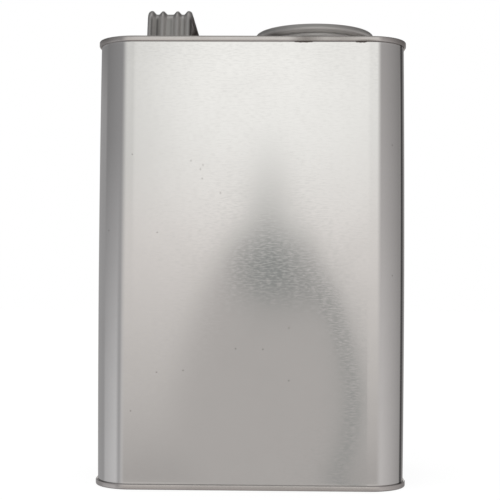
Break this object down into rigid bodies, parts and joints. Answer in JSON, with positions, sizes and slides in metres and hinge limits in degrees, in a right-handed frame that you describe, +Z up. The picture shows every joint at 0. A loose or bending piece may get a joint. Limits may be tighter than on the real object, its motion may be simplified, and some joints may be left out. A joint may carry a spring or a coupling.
{
  "type": "wide mouth can",
  "caption": "Oblong tinplate can with double-seamed ends, a wide round mouth closed by a friction plug, and a corrugated strap handle.",
  "frame": {"origin": "middle of the base, on the surface that the can stands on", "axes": "+Z up, +X along the can's width towards the mouth, -Y towards the front face"},
  "size_m": [0.1684, 0.1064, 0.2603],
  "materials": {
    "body_tinplate": "bright tinplate with fine rolling lines, low roughness",
    "end_tinplate": "bright tinplate, pressed",
    "closure_tinplate": "bright tinplate, rolled and polished by the tools",
    "handle_tinplate": "tinplate strip, rolled ribs",
    "sealing_compound": "matt grey lining compound"
  },
  "bodies": {
    "can": {"body_shell": "body_tinplate", "top_end": "end_tinplate", "bottom_end": "end_tinplate", "top_seam_compound": "sealing_compound", "bottom_seam_compound": "sealing_compound", "mouth_ring": "closure_tinplate", "mouth_gasket": "sealing_compound", "handle_strap": "handle_tinplate"},
    "plug": {"plug_lid": "closure_tinplate"}
  },
  "joints": [
    {"name": "plug_lift", "type": "slide", "parent": "can", "child": "plug", "axis": [0, 0, 1], "range_m": [0, 0.08]}
  ]
}
